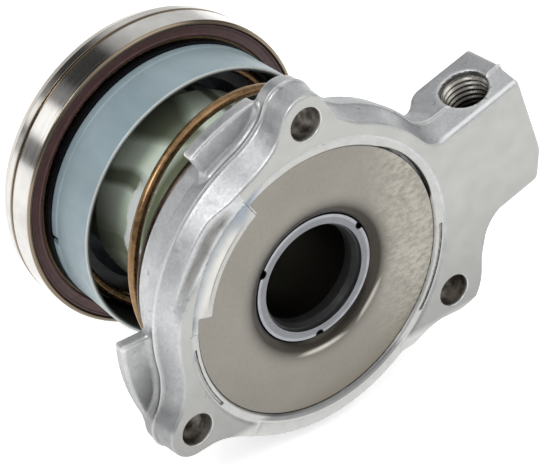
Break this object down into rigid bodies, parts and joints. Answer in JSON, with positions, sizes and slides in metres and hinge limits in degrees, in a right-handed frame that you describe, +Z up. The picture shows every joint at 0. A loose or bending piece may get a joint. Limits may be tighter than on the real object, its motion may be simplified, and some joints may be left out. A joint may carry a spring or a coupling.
{
  "type": "concentric slave cylinder",
  "caption": "Hydraulic concentric slave cylinder: cast flange with bolt ears and port arm, annular piston on a guide sleeve, conical spring, cup and release bearing.",
  "frame": {"origin": "centre of the mounting face, on the shaft axis", "axes": "+Y along the shaft axis from the mounting face to the release bearing, +Z up through the first bolt ear, +X to the right seen from the mounting side"},
  "size_m": [0.0986, 0.0627, 0.0798],
  "materials": {
    "cast": "sand-textured die casting, machined faces",
    "sleeve_steel": "rolled sheet, oxidised beige grey",
    "seal_rubber": "smooth",
    "seal_steel": "pressed sheet",
    "spring_steel": "bright wire",
    "piston_plastic": "moulded, glossy",
    "ring_plastic": "moulded",
    "spring_bronze": "bronze-coloured coating on spring wire",
    "cup_plated": "blue-grey plated sheet",
    "bearing_steel_dark": "hardened sheet",
    "cage_plastic": "moulded",
    "ball_steel": "polished",
    "bearing_steel": "polished",
    "bearing_seal": "moulded, red-brown",
    "shield_steel": "pressed sheet",
    "clip_plastic": "moulded"
  },
  "bodies": {
    "housing": {"housing": "cast", "guide_sleeve": "sleeve_steel", "sleeve_o_ring": "seal_rubber", "shaft_seal_case": "seal_steel", "shaft_seal_lip": "seal_rubber", "garter_spring": "spring_steel", "piston_wiper": "seal_rubber", "stop_ring": "spring_steel", "preload_spring": "spring_bronze"},
    "piston": {"piston": "piston_plastic", "seal_support_ring": "ring_plastic", "piston_seal": "seal_rubber", "spring_cup": "cup_plated", "bearing_inner_ring": "bearing_steel_dark", "wave_washer": "spring_steel", "retaining_clip": "clip_plastic"},
    "bearing_outer": {"bearing_outer_ring": "bearing_steel", "rear_bearing_seal": "bearing_seal", "front_bearing_seal": "shield_steel"},
    "ball_set": {"bearing_cage": "cage_plastic", "bearing_balls": "ball_steel"}
  },
  "joints": [
    {"name": "piston_slide", "type": "slide", "parent": "housing", "child": "piston", "axis": [0, 1, 0], "range_m": [-0.01, 0], "stiffness_N_per_m": 2000, "deforming": ["preload_spring"]},
    {"name": "bearing_spin", "type": "hinge", "parent": "piston", "child": "bearing_outer", "pos_m": [0, 0.057, 0], "axis": [0, 1, 0], "continuous": true},
    {"name": "cage_spin", "type": "hinge", "parent": "piston", "child": "ball_set", "pos_m": [0, 0.057, 0], "axis": [0, 1, 0], "continuous": true}
  ],
  "couplings": [
    {"joint": "cage_spin", "follows": "bearing_spin", "ratio": 0.5}
  ]
}
